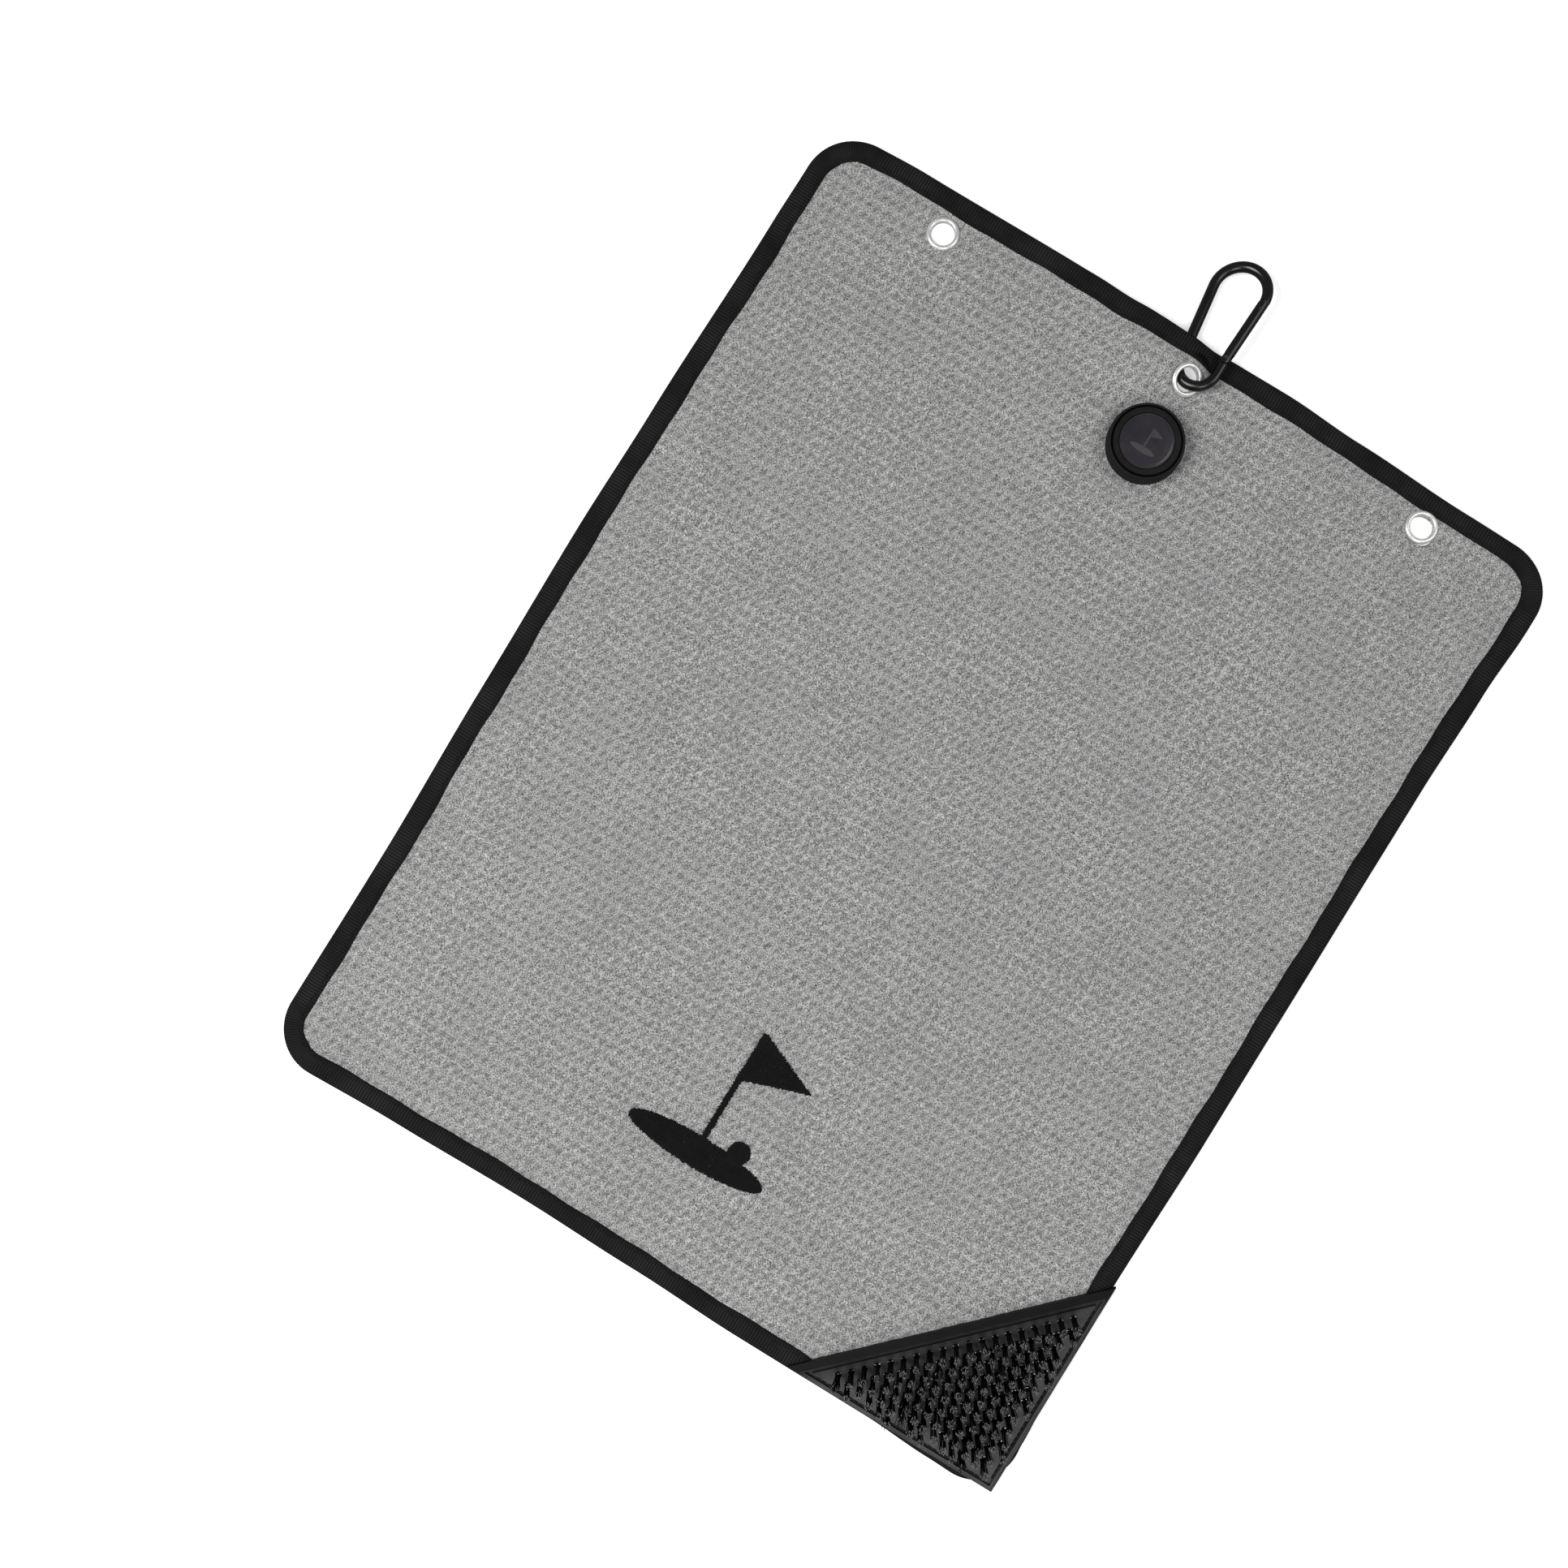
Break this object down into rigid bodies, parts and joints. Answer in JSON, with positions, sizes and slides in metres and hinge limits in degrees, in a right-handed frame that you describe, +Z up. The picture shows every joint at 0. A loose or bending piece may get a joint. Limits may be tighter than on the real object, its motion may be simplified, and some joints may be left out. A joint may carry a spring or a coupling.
{
  "type": "golf towel",
  "caption": "Waffle-weave towel with a bound edge, eyelets, a carabiner clip, a magnetic puck with a lift-off ball marker and a bristle brush sewn into one corner.",
  "frame": {"origin": "middle of the towel's underside, on the surface it lies on", "axes": "+Z up out of the cloth's face, +Y along the towel towards the eyelets and the carabiner, +X across it towards the side with the brush"},
  "size_m": [0.404, 0.558, 0.0247],
  "materials": {
    "cloth": "waffle weave, matt",
    "binding_tape": "ribbed tape, matt",
    "black_thread": "twisted thread",
    "embroidery_thread": "satin stitch",
    "eyelet_metal": "bright nickel plate",
    "clip_anodised": "black satin",
    "clip_pin": "black satin",
    "spring_steel": "drawn wire",
    "puck_rubber": "matt, finely ribbed",
    "puck_plastic": "fine texture",
    "screw_steel": "zinc plated",
    "keeper_steel": "zinc plated",
    "magnet_plating": "nickel plate",
    "marker_metal": "black, thin bright edge",
    "marker_gloss": "polished, faint print",
    "brush_plastic": "satin moulding",
    "bristle": "nylon",
    "staple_metal": "drawn flat wire"
  },
  "bodies": {
    "towel": {"towel_cloth": "cloth", "edge_binding": "binding_tape", "binding_stitching": "black_thread", "left_eyelet": "eyelet_metal", "left_eyelet_washer": "eyelet_metal", "centre_eyelet": "eyelet_metal", "centre_eyelet_washer": "eyelet_metal", "right_eyelet": "eyelet_metal", "right_eyelet_washer": "eyelet_metal", "magnet_grip_ring": "puck_rubber", "magnet_housing": "puck_plastic", "magnet_back_plate": "puck_plastic", "puck_screws": "screw_steel", "magnet_keeper": "keeper_steel", "disc_magnet": "magnet_plating", "brush_base": "brush_plastic", "corner_tufts": "bristle", "brush_tufts": "bristle", "tuft_anchors": "staple_metal", "brush_stitching": "black_thread", "embroidered_emblem": "embroidery_thread"},
    "carabiner": {"carabiner_body": "clip_anodised"},
    "gate": {"carabiner_gate": "clip_anodised", "gate_hinge_pin": "clip_pin", "gate_catch_pin": "clip_pin", "gate_plunger": "clip_pin", "gate_spring": "spring_steel"},
    "marker": {"ball_marker": "marker_metal", "marker_inlay": "marker_gloss"}
  },
  "joints": [
    {"name": "carabiner_swing", "type": "hinge", "parent": "towel", "child": "carabiner", "pos_m": [0.005, 0.2378, 0.00626], "axis": [0, 0, 1], "range_deg": [-5, 14]},
    {"name": "gate_hinge", "type": "hinge", "parent": "carabiner", "child": "gate", "pos_m": [0.01577, 0.2544, 0.00935], "axis": [-0.2756, 0, 0.9613], "range_deg": [0, 32], "stiffness_Nm_per_rad": 0.02, "springref_deg": -20.05},
    {"name": "ball_marker_lift", "type": "slide", "parent": "towel", "child": "marker", "axis": [0, 0, 1], "range_m": [0, 0.02]}
  ]
}
